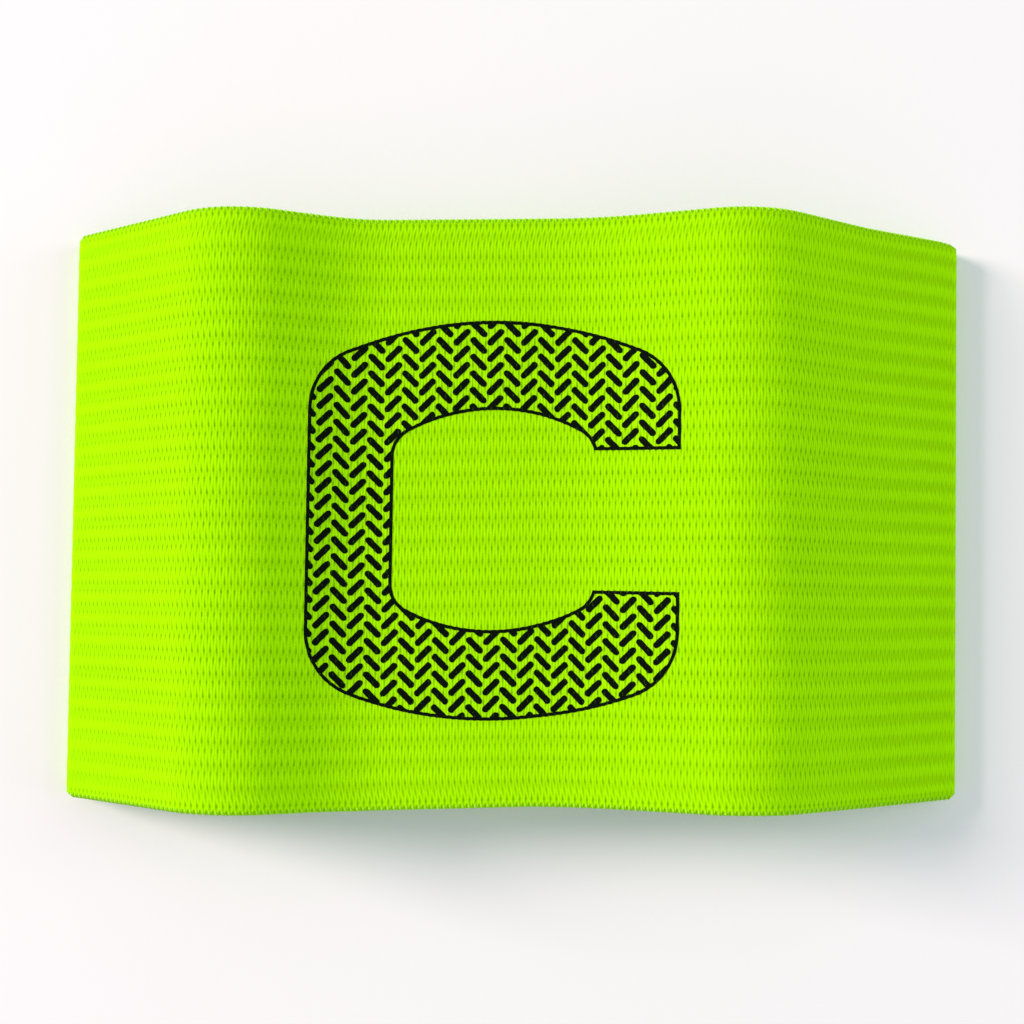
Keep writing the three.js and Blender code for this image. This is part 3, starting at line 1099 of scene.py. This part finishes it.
def strands(tree, stitch, rib, edge):
    """Two strands to a stitch, drawn aside in turn by the slits of the rows they pass."""
    swing = maths(tree, "FRACT", maths(tree, "SUBTRACT", rib, UPPER_SLIT_PHASE))
    groove = LOWER_SLIT_PHASE - UPPER_SLIT_PHASE
    body = 1 - groove
    rising = maths(tree, "MULTIPLY_ADD", swing, 2 / groove, -1.0)
    falling = maths(tree, "MULTIPLY_ADD", swing, -2 / body, 1 + 2 * groove / body)
    sway = ramp(tree, edge, *SWAYS_OVER, *SWAYS)
    zigzag = maths(tree, "MULTIPLY", maths(tree, "MINIMUM", rising, falling), sway)
    gaps = []
    for gap in STRAND_GAPS:
        shifted = maths(tree, "MULTIPLY_ADD", zigzag, gap["way"], stitch)
        aside = maths(tree, "ABSOLUTE", centred(tree, shifted, gap["middle"]))
        gaps.append(ramp(tree, aside, 0.0, STRAND_REACH))
    return maths(tree, "SUBTRACT", 1.0, maths(tree, "MULTIPLY", *gaps))


def make_weave_group():
    """The knit of the ribbed elastic, from a place counted in stitches and ribs."""
    tree = bpy.data.node_groups.new("ribbed_elastic_knit", "ShaderNodeTree")
    face = tree.interface
    face.new_socket("Strip Place", in_out="INPUT", socket_type="NodeSocketVector")
    for name in ("Height", "Slit", "Strand", "Tone And Groove Shade"):
        face.new_socket(name, in_out="OUTPUT", socket_type="NodeSocketFloat")
    start = tree.nodes.new("NodeGroupInput")
    end = tree.nodes.new("NodeGroupOutput")
    place = start.outputs["Strip Place"]
    parts = tree.nodes.new("ShaderNodeSeparateXYZ")
    tree.links.new(place, parts.inputs[0])
    along, rib = parts.outputs["X"], parts.outputs["Y"]
    edge = maths(tree, "ABSOLUTE", rib)
    stitch = wandering_stitch(tree, place, along, edge)
    slit, tick = slit_rows(tree, place, stitch, rib, edge)
    strand = strands(tree, stitch, rib, edge)

    left, right = (fold / STITCH_LENGTH for fold in (LEFT_FOLD_AT, RIGHT_FOLD_AT))
    left_flank = near(tree, along, left, FLANK_STITCHES)
    right_flank = near(tree, along, right, FLANK_STITCHES)
    slit = less(tree, slit, near(tree, along, left, BEND_STITCHES), LEFT_BEND_LOSS)
    slit = less(tree, slit, near(tree, along, right, BEND_STITCHES), RIGHT_BEND_LOSS)
    slit = less(tree, slit, left_flank, LEFT_SLIT_LOSS)
    slit = less(tree, slit, right_flank, RIGHT_SLIT_LOSS)
    slit = maths(tree, "MAXIMUM", slit, tick)
    strand = maths(tree, "SUBTRACT", strand, STRAND_MEAN)
    strand = less(tree, strand, left_flank, LEFT_STRAND_LOSS)
    strand = less(tree, strand, right_flank, RIGHT_STRAND_LOSS)
    strand = maths(tree, "ADD", strand, STRAND_MEAN)

    fuzz = noise(tree, stretched(tree, place, FUZZ_SCALE), 1.0, 1.0)
    height = maths(tree, "MULTIPLY_ADD", strand, STRAND_RISE, KNIT_HEIGHT)
    height = maths(tree, "MULTIPLY_ADD", fuzz, FUZZ_RISE, height)
    height = maths(tree, "MULTIPLY_ADD", slit, -SLIT_SINK, height)
    slow = noise(tree, stretched(tree, place, SLOW_SCALE), 1.0, 3.0)
    tone_and_groove_shade = maths(tree, "MULTIPLY_ADD", slow, SLOW_TONE, LEAST_TONE)
    tone_and_groove_shade = maths(tree, "MULTIPLY_ADD", fuzz, FUZZ_TONE, tone_and_groove_shade)
    # Painted shade: the tone darkens in the grooves between the ribs, most on the right flank
    groove = near(tree, maths(tree, "FRACT", rib), GROOVE_PHASE, GROOVE_REACH)
    groove_shade = maths(tree, "MULTIPLY_ADD", left_flank, -LEFT_GROOVE_SHADE, -MIDDLE_GROOVE_SHADE)
    groove_shade = maths(tree, "MULTIPLY_ADD", right_flank, -RIGHT_GROOVE_SHADE, groove_shade)
    tone_and_groove_shade = maths(tree, "MULTIPLY_ADD", groove, groove_shade, tone_and_groove_shade)
    for name, value in (("Height", height), ("Slit", slit), ("Strand", strand), ("Tone And Groove Shade", tone_and_groove_shade)):
        tree.links.new(value, end.inputs[name])
    return tree


def new_material(name, roughness, specular):
    material = bpy.data.materials.new(name)
    material.use_nodes = True
    shader = material.node_tree.nodes["Principled BSDF"]
    shader.inputs["Roughness"].default_value = roughness
    shader.inputs["Specular IOR Level"].default_value = specular
    return material, material.node_tree, shader


def strip_place(tree):
    node = tree.nodes.new("ShaderNodeUVMap")
    node.uv_map = "strip"
    return node.outputs["UV"]


def knit(tree, weave):
    node = tree.nodes.new("ShaderNodeGroup")
    node.node_tree = weave
    tree.links.new(strip_place(tree), node.inputs["Strip Place"])
    return node.outputs


def bumped(tree, height, shader, distance, strength=1.0):
    bump = tree.nodes.new("ShaderNodeBump")
    bump.inputs["Distance"].default_value = distance
    bump.inputs["Strength"].default_value = strength
    tree.links.new(height, bump.inputs["Height"])
    tree.links.new(bump.outputs["Normal"], shader.inputs["Normal"])


def make_elastic_material(weave):
    material, tree, shader = new_material("neon_knitted_elastic", roughness=0.9, specular=0.02)
    cloth = knit(tree, weave)
    # Painted highlight on the strands, from the knit's strand mask
    lit = colour_mix(tree, cloth["Strand"], NEON, NEON_HIGHLIGHT)
    # Painted shade in the slits and the ticks between the selvedge loops
    shaded = colour_mix(tree, maths(tree, "MULTIPLY", cloth["Slit"], SLIT_SHADE), lit, NEON_SHADE)
    # The tone, which holds random tone, fuzz and the painted groove shade, darkens the colour
    toned_and_groove_shaded = colour_mix(tree, 1.0, shaded, cloth["Tone And Groove Shade"], "MULTIPLY")
    tree.links.new(toned_and_groove_shaded, shader.inputs["Base Color"])
    bumped(tree, cloth["Height"], shader, KNIT_BUMP)
    return material


def make_ink_material(weave):
    material, tree, shader = new_material("black_screen_print", roughness=0.7, specular=0.05)
    cloth = knit(tree, weave)
    grain = noise(tree, stretched(tree, strip_place(tree), INK_GRAIN_SCALE), 1.0, 2.0)
    bare = maths(tree, "MULTIPLY_ADD", grain, INK_GRAIN, cloth["Slit"])
    bare = ramp(tree, bare, *PINHOLE_LEVELS, 0.0, PINHOLES)
    tree.links.new(colour_mix(tree, bare, INK, NEON_SHADE), shader.inputs["Base Color"])
    bumped(tree, cloth["Height"], shader, KNIT_BUMP, INK_BUMP_SHARE)
    return material


def make_thread_material():
    material, tree, shader = new_material("neon_thread", roughness=0.85, specular=0.05)
    twist = noise(tree, stretched(tree, strip_place(tree), TWIST_SCALE), 1.0, 2.0)
    colour = colour_mix(tree, ramp(tree, twist, *TWIST_LEVELS), YARN, YARN_HIGHLIGHT)
    tree.links.new(colour, shader.inputs["Base Color"])
    bumped(tree, twist, shader, TWIST_BUMP)
    return material


# The floor and the lights

def add_floor():
    bpy.ops.object.select_all(action="DESELECT")
    bpy.ops.mesh.primitive_plane_add(size=FLOOR_SIZE, location=(0, 0, 0))
    floor = bpy.context.active_object
    floor.name = "floor"
    material, tree, shader = new_material("pale_floor", roughness=0.9, specular=0.1)
    shader.inputs["Base Color"].default_value = (*FLOOR, 1.0)
    floor.data.materials.append(material)


def add_light(name, direction, distance, size, watts, colour):
    data = bpy.data.lights.new(name, "AREA")
    data.shape = "DISK"
    data.size = size
    data.energy = watts
    data.color = colour
    light = bpy.data.objects.new(name, data)
    bpy.context.scene.collection.objects.link(light)
    place = Vector(direction).normalized() * distance
    light.location = place
    light.rotation_mode = "QUATERNION"
    light.rotation_quaternion = (-place).to_track_quat("-Z", "Y")


def add_lights():
    for light in LIGHTS:
        add_light(**light)
    world = bpy.context.scene.world or bpy.data.worlds.new("world")
    bpy.context.scene.world = world
    world.use_nodes = True
    background = world.node_tree.nodes["Background"]
    background.inputs["Color"].default_value = (*ROOM_LIGHT, 1.0)
    background.inputs["Strength"].default_value = ROOM_BRIGHTNESS
    bpy.context.scene.view_settings.view_transform = "Standard"


def dress(piece, material, slot_name, *replaced):
    piece.data.materials.clear()
    piece.data.materials.append(material)
    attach(piece, "root")
    if replaced:
        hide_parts(*replaced)


weave = make_weave_group()
elastic = make_elastic_material(weave)
ink = make_ink_material(weave)
thread = make_thread_material()

band = make_band()
letter = make_letter()
loops = make_selvedge_loops()
stitches = make_lap_stitches()

dress(band, elastic, "neon_elastic", "elastic_band")
dress(letter, ink, "black_ink", "letter_print")
dress(loops, thread, "neon_elastic")
dress(stitches, thread, "neon_elastic")

add_floor()
add_lights()
